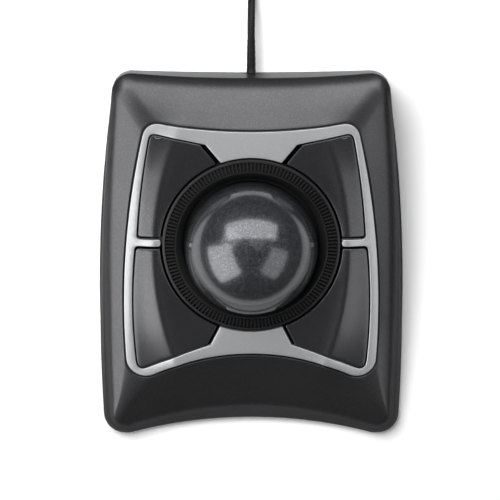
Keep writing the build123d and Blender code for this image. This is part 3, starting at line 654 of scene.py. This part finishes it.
sleeve = {"root": 1.95, "tip": 1.72, "bore": 1.3, "collar": 3.1, "flange": 4.0, "flangeThick": 1.4,
          "grooves": 5, "grooveDepth": 0.05, "steps": 40}


def makeStrainRelief():
    # a collar in the wall and a slim taper with shallow grooves
    root, tip, bore, collar = (sleeve[key] for key in ("root", "tip", "bore", "collar"))
    wallY = baseBack - reliefLow.y
    end = reliefHigh.y - reliefLow.y
    profile = [(bore, 0), (sleeve["flange"], 0), (sleeve["flange"], sleeve["flangeThick"]),
               (collar, sleeve["flangeThick"]), (collar, wallY - 0.7), (collar - 0.3, wallY - 0.3),
               (root + 0.2, wallY - 0.1), (root, wallY + 0.5)]
    grooved = end - wallY - 1.5
    for k in range(sleeve["grooves"]):
        for share, depth in ((0.30, 0), (0.42, 1), (0.62, 1), (0.74, 0)):
            along = wallY + 1.0 + grooved * (k + share) / sleeve["grooves"]
            radius = root + (tip - root) * (along - wallY) / (end - wallY)
            profile.append((radius - depth * sleeve["grooveDepth"], along))
    profile += [(tip, end - 0.2), (tip - 0.15, end), (bore, end)]
    matrix = Matrix.Translation((0, reliefLow.y, exitHeight)) @ Matrix.Rotation(-pi / 2, 4, "X")
    bm = bmesh.new()
    addRevolve(bm, profile, sleeve["steps"], matrix)
    return finishedMesh("strainRelief", bm, cableBlack, "housing", "strain_relief", slot="cable_black")


strap = {"width": 5.0, "thick": 0.5, "corner": 2.2, "spacing": 2.0, "lock": (4.0, 6.2, 5.0), "lockRound": 0.5}


def makeTie():
    # a flat strap round all the turns, with its lock on the outside
    inner = lead["coilInner"]
    outer = inner + 3 * lead["pitch"] + lead["diameter"]
    high = 3 * lead["pitch"] + lead["diameter"]
    half, side = strap["thick"] / 2, strap["width"] / 2
    corners = [Vector((inner - half, half)), Vector((outer + half, half)),
               Vector((outer + half, high + half)), Vector((inner - half, high + half))]
    sides = [[a, b] for a, b in zip(corners, corners[1:] + corners[:1])]
    loop = turned(roundedLoop(sides, [strap["corner"]] * 4, strap["spacing"]), True)
    coilMiddle = Matrix.Translation((lead["coilX"], lead["coilY"], 0))
    tiePlace = coilMiddle @ Matrix.Rotation(radians(lead["tieAt"]), 4, "Z")
    bm = bmesh.new()
    columns = []
    for out, back in zip(shifted(loop, -half), shifted(loop, half)):
        section = ((out, -side), (out, side), (back, side), (back, -side))
        columns.append([tiePlace @ Vector((p.x, y, p.y)) for p, y in section])
    addGrid(bm, columns)
    long, wide, tall = strap["lock"]
    made = bmesh.ops.create_cube(bm, size=1.0)["verts"]
    lockMiddle = Vector((outer + half + long / 2, 0, high / 2))
    for vert in made:
        vert.co = tiePlace @ (lockMiddle + vert.co * Vector((long, wide, tall)))
    edges = {edge for vert in made for edge in vert.link_edges}
    bmesh.ops.bevel(bm, geom=list(edges), offset=strap["lockRound"], segments=2, affect="EDGES")
    return finishedMesh("cableTie", bm, chipBlack, "housing", "cable_tie", slot="chip_black")


leadPiece = makeLead()
reliefPiece = makeStrainRelief()
tiePiece = makeTie()
print("lead, relief and tie made")


# top cover
cover = {"gap": 0.7, "rimRound": 0.45, "rimSteps": 4, "flankBow": 0.12, "flankSteps": 24, "upperSteps": 22,
         "creaseRound": 0.7, "creaseSteps": 9, "rollLength": 5.8, "rollDrop": 1.5, "wall": 2.2,
         "backDip": 1.0, "frontDip": 5.2, "seamGap": 0.12, "footChamfer": 0.3, "footRise": 0.35,
         "leadHole": 3.25, "underCrease": 2.4,
         "drops": {"back": 1.32, "backCorner": 1.0, "side": 0.62, "frontCorner": 0.82, "front": 0.95}}


def creaseDrops():
    # how far the crease lies below the deck, point by point round the outline
    steps, drops = outlineSteps, cover["drops"]
    stops = [(0, drops["back"]), (steps["back"] + steps["corner"] // 2, drops["backCorner"]),
             (steps["back"] + steps["corner"] + steps["side"] // 2, drops["side"]),
             (steps["back"] + steps["corner"] * 3 // 2 + steps["side"], drops["frontCorner"]),
             (steps["back"] + 2 * steps["corner"] + steps["side"] + steps["front"], drops["front"])]
    right = []
    for (start, a), (end, b) in zip(stops, stops[1:]):
        for k in range(start, end):
            share = (k - start) / (end - start)
            right.append(creaseDrop * (a + (b - a) * eased(share)))
    right.append(creaseDrop * drops["front"])
    return right + right[-2:0:-1]


def rolledOff(flank):
    # the flank turns down just before the crease
    left = pathLength(flank)
    rolled = []
    for k, point in enumerate(flank):
        if k:
            left -= (point - flank[k - 1]).length
        near = max(0.0, 1 - left / cover["rollLength"])
        rolled.append(point - deckNormal * (cover["rollDrop"] * near * near))
    return rolled


def coverColumns():
    # each column runs from the rim down the flank, round the crease, down the wall and back up inside
    levels, drops = [], creaseDrops()
    count = cover["flankSteps"]
    for step in range(count + 1):
        t = step / count
        edge = blendEdges(bezelEdge, creaseEdge, t)
        dip = 4 * t * (1 - t)
        edge["backR"] -= cover["backDip"] * dip
        edge["frontR"] -= cover["frontDip"] * dip
        bowed = (1 - cover["flankBow"]) * t + cover["flankBow"] * t * t
        levels.append([onDeck(p.x, p.y, relief(p.x, p.y) * (1 - t) ** 2 - drop * bowed)
                       for p, drop in zip(bowedOutline(edge, -cover["gap"] * (1 - t)), drops)])
    ledgeTop = -deck["frameThick"]
    rimWall = bowedOutline(bezelEdge, -cover["gap"])
    ledge = bowedOutline(bezelEdge, deck["ledge"])
    innerCrease = bowedOutline(creaseEdge, cover["underCrease"])
    base = bowedOutline(baseEdge)
    innerBase = bowedOutline(baseEdge, cover["wall"])
    seam = seamHeight + cover["seamGap"]
    columns = []
    for k in range(len(base)):
        flank = rolledOff([level[k] for level in levels])
        crease = flank[-1]
        rim, rimLow = flank[0], onDeck(rimWall[k].x, rimWall[k].y, ledgeTop)
        foot = Vector((base[k].x, base[k].y, seam))
        wallLong, flankLong = (crease - foot).length, pathLength(flank)
        cut = min(cover["creaseRound"], rounding["mostOfSide"] * wallLong)
        upper = stretch(flank, cover["rimRound"], flankLong - cover["creaseRound"], cover["upperSteps"])
        wallTop = crease + (foot - crease) * (cut / wallLong)
        inwards = Vector((-base[k].x, -base[k].y, 0)).normalized()
        column = [rimLow, rim + (rimLow - rim).normalized() * cover["rimRound"]]
        column += softCorner(column[-1], rim, upper[0], cover["rimSteps"]) + upper
        column += softCorner(upper[-1], crease, wallTop, cover["creaseSteps"])
        wallShares = (0, 0.25, 0.5, 0.75, 1 - cover["footRise"] / wallLong)
        column += [wallTop + (foot - wallTop) * share for share in wallShares]
        column += [foot + inwards * cover["footChamfer"],
                   Vector((innerBase[k].x, innerBase[k].y, seam)),
                   onDeck(innerCrease[k].x, innerCrease[k].y, -creaseDrop - cover["wall"]),
                   onDeck(ledge[k].x, ledge[k].y, ledgeTop - deck["ledge"]),
                   onDeck(ledge[k].x, ledge[k].y, ledgeTop)]
        columns.append(column)
    return columns


def cutHole(piece, radius, start, end):
    # a round hole along Y at the lead's height
    bm = bmesh.new()
    drillPlace = Matrix.Translation((0, (start + end) / 2, exitHeight)) @ Matrix.Rotation(pi / 2, 4, "X")
    bmesh.ops.create_cone(bm, cap_ends=True, segments=40, radius1=radius, radius2=radius, depth=end - start,
                          matrix=drillPlace)
    bmesh.ops.scale(bm, vec=(mm, mm, mm), verts=bm.verts)
    mesh = bpy.data.meshes.new("drill")
    bm.to_mesh(mesh)
    bm.free()
    drill = bpy.data.objects.new("drill", mesh)
    bpy.context.scene.collection.objects.link(drill)
    cut = piece.modifiers.new("hole", "BOOLEAN")
    cut.object, cut.solver = drill, "EXACT"
    keepResult(piece)
    bpy.data.objects.remove(drill)


def makeCover():
    bm = bmesh.new()
    addGrid(bm, coverColumns())
    piece = finishedMesh("topCover", bm, graphite, "housing", "top_cover", slot="graphite_shell", angle=38.0)
    cutHole(piece, cover["leadHole"], baseBack - 6, baseBack + 4)


makeCover()
print("top cover made")

# silver frame and the four buttons
ring = {"bore": ballRadius + 1.2, "width": 8.25, "openGap": 0.65, "deep": 5.5}
ring["outer"] = ring["bore"] + ring["width"]
openRadius = ring["outer"] + ring["openGap"]
keys = {"gap": 0.55, "barGap": 1.15, "barWide": 2.9, "barAt": 1.4, "sink": 0.2, "diagonal": 1.3, "skirt": 4.0,
        "wall": 1.2, "skin": 1.8, "edgeRound": 0.35, "spacing": 1.1, "outlineStep": 1.0, "ringGap": 0.2}
keySteps = {"side": 12, "arcStep": 1.5}
backCorner, frontCorner = Vector(bezelEdge["back"]), Vector(bezelEdge["front"])
sideX = bezelEdge["side"][0]
backInner = Vector((backCorner.x - 24.0, bezelEdge["backMid"] - 5.7))
frontInner = Vector((frontCorner.x - 34.2, bezelEdge["frontMid"] + 4.3))
upperLine = keys["barAt"] + keys["barWide"] / 2 + keys["barGap"]
lowerLine = keys["barAt"] - keys["barWide"] / 2 - keys["barGap"]
buttonCorners = {
    "back": [Vector((ring["bore"] - 4, upperLine)), Vector((sideX - 5.0, upperLine)),
             backCorner - Vector((1.8, 5.2)), backInner, backInner - Vector((11.2, 13.4))],
    "front": [frontInner + Vector((-6.5, 13.0)), frontInner, frontCorner + Vector((-4.0, 7.7)),
              Vector((sideX - 4.1, lowerLine)), Vector((ring["bore"] - 4, lowerLine))]}
# outward bow of each side, and how each side moves out for the opening and in for the button
buttonBow = {"back": (0, 0.8, 0.0, 0), "front": (0, -0.5, 1.6, 0)}
openShift = {"back": (keys["barGap"], keys["gap"], keys["gap"], keys["gap"]),
             "front": (keys["gap"], keys["gap"], keys["gap"], keys["barGap"])}
keyShift = {"back": (0, 0, 0, -keys["diagonal"]), "front": (-keys["diagonal"] * 0.6, 0, 0, 0)}
cornerRadii = {"back": (1.2, 2.5, 0.9), "front": (0.9, 3.0, 1.5)}
ringEndRadii = {"plate": 0.7, "bar": 1.15, "button": 0.8}  # corners beside the ring


def linesMeet(p, d, q, e):
    cross = d.x * e.y - d.y * e.x
    t = ((q.x - p.x) * e.y - (q.y - p.y) * e.x) / cross
    return p + d * t


def buttonPath(row, shifts, radius):
    # the sides of one right-hand button, anticlockwise, without the arc along the ring
    corners = buttonCorners[row]
    lines = []
    for a, b, shift in zip(corners, corners[1:], shifts):
        way = (b - a).normalized()
        lines.append((a + Vector((way.y, -way.x)) * shift, way))
    turns = [linesMeet(*lines[k], *lines[k + 1]) for k in range(3)]

    def reachRing(spot, way):
        along = spot.dot(way)
        swing = sqrt(along ** 2 - spot.length_squared + radius ** 2)
        hits = (spot + way * (swing - along), spot - way * (swing + along))
        return min(hits, key=lambda hit: (hit - spot).length)
    ends = [reachRing(*lines[0]), *turns, reachRing(*lines[3])]
    sides = []
    for k, (a, b) in enumerate(zip(ends, ends[1:])):
        way = b - a
        out = Vector((way.y, -way.x)).normalized()
        shares = [step / keySteps["side"] for step in range(keySteps["side"] + 1)]
        bow = buttonBow[row][k]
        sides.append([a + way * share + out * (bow * 4 * share * (1 - share)) for share in shares])
    return sides


def mirrored(sides):
    return [[Vector((-p.x, p.y)) for p in reversed(side)] for side in reversed(sides)]


def ringArc(start, end, radius):
    # along the ring's opening, the short way round
    first, turn = atan2(start.y, start.x), start.angle_signed(end)
    count = max(4, ceil(abs(turn) * radius / keySteps["arcStep"]))
    angles = [first - turn * k / count for k in range(count + 1)]
    return [Vector((cos(angle), sin(angle))) * radius for angle in angles]


def frameOpening():
    path = {row: buttonPath(row, openShift[row], openRadius) for row in ("back", "front")}
    order = [(path["back"], cornerRadii["back"]), (mirrored(path["back"]), cornerRadii["back"][::-1]),
             (mirrored(path["front"]), cornerRadii["front"][::-1]), (path["front"], cornerRadii["front"])]
    sides, radii = [], []
    for k, (run, corner) in enumerate(order):
        following = order[(k + 1) % 4][0]
        sides += run + [ringArc(run[-1][-1], following[0][0], openRadius)]
        radii += [r + keys["gap"] for r in corner] + [ringEndRadii["bar" if k % 2 else "plate"]] * 2
    return roundedLoop(sides, radii, keys["outlineStep"])


def buttonTop(u, v):
    return relief(u, v) - keys["sink"]


def evenOutline(edge, spacing):
    loop = bowedOutline(edge)
    loop.append(loop[0])
    total = pathLength(loop)
    count = ceil(total / spacing)
    return [pointAt(loop, total * k / count) for k in range(count)]


bezel = {"outlineStep": 1.0, "edgeRound": 0.3, "spacing": 1.5}


def makeFrame():
    bm = bmesh.new()
    loops = [evenOutline(bezelEdge, bezel["outlineStep"]), frameOpening()]
    addPlate(bm, loops, relief, -deck["frameThick"], bezel["edgeRound"], bezel["spacing"])
    return finishedMesh("buttonFrame", bm, silver, "housing", "button_frame", slot="silver_frame", angle=42.0)


def makeButton(row, side):
    ringSide = openRadius + keys["ringGap"]
    sides = buttonPath(row, keyShift[row], ringSide)
    sides.append(ringArc(sides[-1][-1], sides[0][0], ringSide))
    radii = cornerRadii[row]
    if side == "left":
        sides = mirrored(sides[:4]) + mirrored(sides[4:])
        radii = radii[::-1]
    loop = roundedLoop(sides, [*radii, ringEndRadii["button"], ringEndRadii["button"]], keys["outlineStep"])
    bm = bmesh.new()
    addPlate(bm, [loop], buttonTop, -keys["sink"] - keys["skirt"], keys["edgeRound"], keys["spacing"],
             (keys["wall"], keys["skin"]))
    name = f"button_{row}_{side}"
    return finishedMesh(f"key_{row}_{side}", bm, graphiteKey, name, name, slot="graphite_button", angle=42.0)


makeFrame()
for keyRow in ("back", "front"):
    for keySide in ("left", "right"):
        makeButton(keyRow, keySide)
print("frame and buttons made")

# scroll ring
ribs = {"count": 140, "radius": 33.85, "channel": 1.95, "long": 3.85, "wide": 0.74, "high": 1.7, "taper": 0.7,
        "groove": 1.7, "sunk": 0.02}


def makeRing():
    # a slope up from the bore, the channel that the ribs stand in, and a flat rim with a rounded edge
    innerWall, outer = ring["bore"], ring["outer"]
    inner, edge = ribs["radius"] - ribs["channel"], ribs["radius"] + ribs["channel"]
    floor = -ribs["groove"]
    profile = [(innerWall, -ring["deep"]), (innerWall, -3.3), (innerWall + 0.25, -2.9),
               (inner - 0.9, -0.42), (inner - 0.45, -0.12), (inner, -0.02),
               (inner + 0.25, floor), (edge - 0.25, floor),
               (edge, -0.02), (edge + 0.35, -0.06), (outer - 0.4, -0.12), (outer - 0.15, -0.22),
               (outer - 0.04, -0.42), (outer, -0.8), (outer, -ring["deep"])]
    bm = bmesh.new()
    addRevolve(bm, profile, 180, deckMatrix)
    return finishedMesh("scrollRing", bm, ringBlack, "ring", "scroll_ring", slot="ring_black", angle=30.0)


def geometryTree(name, inputs):
    tree = bpy.data.node_groups.new(name, "GeometryNodeTree")
    for label, kind in inputs.items():
        tree.interface.new_socket(label, in_out="INPUT", socket_type=f"NodeSocket{kind}")
    tree.interface.new_socket("Geometry", in_out="OUTPUT", socket_type="NodeSocketGeometry")
    return tree


def ribTree():
    # blocks with a narrower top, set round a circle
    tree = geometryTree("ringRibs", {"Count": "Int", "Radius": "Float", "Size": "Vector", "Taper": "Float",
                                     "Material": "Material"})
    given = addNode(tree, "NodeGroupInput").outputs
    circle = addNode(tree, "GeometryNodeMeshCircle", None,
                     {"Vertices": given["Count"], "Radius": given["Radius"]})
    box = addNode(tree, "GeometryNodeMeshCube", None, {"Size": given["Size"]})
    spot = addNode(tree, "GeometryNodeInputPosition").outputs[0]
    parts = addNode(tree, "ShaderNodeSeparateXYZ", None, {0: spot}).outputs
    above = addNode(tree, "FunctionNodeCompare", {"operation": "GREATER_THAN"}, {0: parts["Z"], 1: 0.0})
    narrow = addNode(tree, "ShaderNodeCombineXYZ", None, {"X": 0.9, "Y": given["Taper"], "Z": 1.0})
    smaller = addNode(tree, "ShaderNodeVectorMath", {"operation": "MULTIPLY"},
                      {0: spot, 1: narrow.outputs[0]})
    rib = addNode(tree, "GeometryNodeSetPosition", None,
                  {"Geometry": box.outputs[0], "Selection": above.outputs[0], "Position": smaller.outputs[0]})
    azimuth = addNode(tree, "ShaderNodeMath", {"operation": "ARCTAN2"}, {0: parts["Y"], 1: parts["X"]})
    turn = addNode(tree, "ShaderNodeCombineXYZ", None, {"Z": azimuth.outputs[0]})
    spread = addNode(tree, "GeometryNodeInstanceOnPoints", None,
                     {"Points": circle.outputs[0], "Instance": rib.outputs[0], "Rotation": turn.outputs[0]})
    real = addNode(tree, "GeometryNodeRealizeInstances", None, {0: spread.outputs[0]})
    painted = addNode(tree, "GeometryNodeSetMaterial", None,
                      {"Geometry": real.outputs[0], "Material": given["Material"]})
    addNode(tree, "NodeGroupOutput", None, {0: painted.outputs[0]})
    return tree


def grown(name, tree, values, matrix, body, slot):
    # runs a geometry tree and keeps its result as a plain mesh at the origin
    piece = bpy.data.objects.new(name, bpy.data.meshes.new(name))
    bpy.context.scene.collection.objects.link(piece)
    modifier = piece.modifiers.new(name, "NODES")
    modifier.node_group = tree
    for item in tree.interface.items_tree:
        if item.in_out == "INPUT" and item.name in values:
            modifier[item.identifier] = values[item.name]
    keepResult(piece)
    piece.data.transform(matrix)
    return placed(piece, body, slot=slot)


def makeRibs():
    values = {"Count": ribs["count"], "Radius": ribs["radius"] * mm, "Taper": ribs["taper"],
              "Size": (ribs["long"] * mm, ribs["wide"] * mm, ribs["high"] * mm), "Material": ringBlack}
    place = deckMatrix.copy()
    place.translation = deckMatrix.translation * mm
    drop = Matrix.Translation(Vector((0, 0, -0.5 * ribs["high"] - ribs["sunk"])) * mm)
    grown("ringRibs", ribTree(), values, place @ drop, "ring", "ring_black")


makeRing()
makeRibs()
print("scroll ring made")


def makeBall():
    bm = bmesh.new()
    bmesh.ops.create_icosphere(bm, subdivisions=6, radius=ballRadius, matrix=Matrix.Translation(ballCentre))
    return finishedMesh("ballPearl", bm, pearl, "ball", "ball", slot="ball_resin", angle=60.0)


makeBall()
dressCadNodes()
print("ball made, packed nodes dressed")

# the stage: a white desk, six lamps and a dim room; mirrored in the object, the desk is white inside
# the paper circle, and painted shadow makes it grey near the front and sides
stage = {"size": 6.0, "paper": 0.47, "paperAt": (0.0, -0.29, 0.0), "shade": 0.125,
         "shadeAt": (0.015, -0.055, 0.0), "shadeDepth": 0.6, "white": 0.86, "dark": 0.05, "glow": 0.2,
         "mirrorGlow": 0.05, "room": 0.085}


def pathFlag(tree, *names):
    # the sum of the named Light Path outputs
    path = addNode(tree, "ShaderNodeLightPath").outputs
    total = Wire(tree, path[names[0]])
    for name in names[1:]:
        total = total + Wire(tree, path[name])
    return total


def makeFloor():
    desk = Finish("desk", Roughness=0.9, Specular_IOR_Level=0.0)
    spot = desk.node("ShaderNodeTexCoord", out="Object")

    def within(centre, radius):
        reach = desk.node("ShaderNodeVectorMath", {"operation": "DISTANCE"}, {0: spot, 1: centre}, "Value")
        return desk.node("ShaderNodeMath", {"operation": "LESS_THAN"}, {0: reach, 1: radius})
    seen = pathFlag(desk.tree, "Is Camera Ray")
    mirrors = pathFlag(desk.tree, "Is Glossy Ray", "Is Transmission Ray")
    mirrorSeen = mirrors * within(stage["paperAt"], stage["paper"])
    # painted shadow: the mirrored desk is darkened round the front and sides of the body, where its shadow falls
    paintedShadow = within(stage["shadeAt"], stage["shade"]) * stage["shadeDepth"]
    darkened = mirrors - mirrorSeen * (1 - paintedShadow)
    desk.feed(Base_Color=desk.tint(darkened, (stage["white"],) * 3, (stage["dark"],) * 3))
    strength = seen * stage["glow"] + mirrorSeen * stage["mirrorGlow"]
    glow = desk.node("ShaderNodeEmission", sockets={"Color": (1, 1, 1, 1), "Strength": strength})
    both = desk.node("ShaderNodeAddShader", sockets={0: glow, 1: Wire(desk.tree, desk.shader.outputs[0])})
    output = next(n for n in desk.tree.nodes if n.type == "OUTPUT_MATERIAL")
    connect(desk.tree, both, output.inputs["Surface"])
    bpy.ops.mesh.primitive_plane_add(size=stage["size"], location=(0, 0, 0))
    floor = bpy.context.object
    floor.name = "floor"
    floor.data.materials.append(desk.material)


def makeRoom():
    world = bpy.data.worlds.new("room")
    bpy.context.scene.world = world
    world.use_nodes = True
    tree = world.node_tree
    back = tree.nodes["Background"]
    back.inputs["Color"].default_value = (1, 1, 1, 1)
    seen = pathFlag(tree, "Is Camera Ray")
    connect(tree, seen * (1 - stage["room"]) + stage["room"], back.inputs["Strength"])


# each lamp's azimuth and elevation, its size across and up in metres, and its brightness, a metre from the
# ball; the wash lights matt surfaces alone, and the others are seen only in glossy ones
softBoxes = {"top": (90.0, 50.0, 1.82, 0.6, 3.0),
             "left": (203.0, 35.5, 1.02, 0.88, 3.1),
             "right": (-27.0, 43.5, 0.85, 0.6, 1.25),
             "wash": (122.0, 62.0, 0.55, 0.55, 15.5),
             "backCorner": (148.0, 48.0, 0.5, 0.5, 1.15),
             "veil": (58.0, 70.0, 0.45, 0.4, 0.45)}


def makeSoftBox(name, azimuth, elevation, across, up, brightness):
    lamp = bpy.data.lights.new(name, "AREA")
    lamp.shape = "RECTANGLE"
    lamp.size, lamp.size_y = across, up
    lamp.energy = brightness * pi * across * up
    box = bpy.data.objects.new(name, lamp)
    bpy.context.scene.collection.objects.link(box)
    along, rise = radians(azimuth), radians(elevation)
    way = Vector((cos(along) * cos(rise), sin(along) * cos(rise), sin(rise)))
    box.location = ballCentre * mm + way
    box.rotation_euler = way.to_track_quat("Z", "Y").to_euler()
    box.visible_diffuse = name == "wash"
    box.visible_glossy = name != "wash"


makeFloor()
makeRoom()
for boxName, boxFacts in softBoxes.items():
    makeSoftBox(boxName, *boxFacts)
bpy.context.scene.view_settings.view_transform = "Standard"
print("stage set")
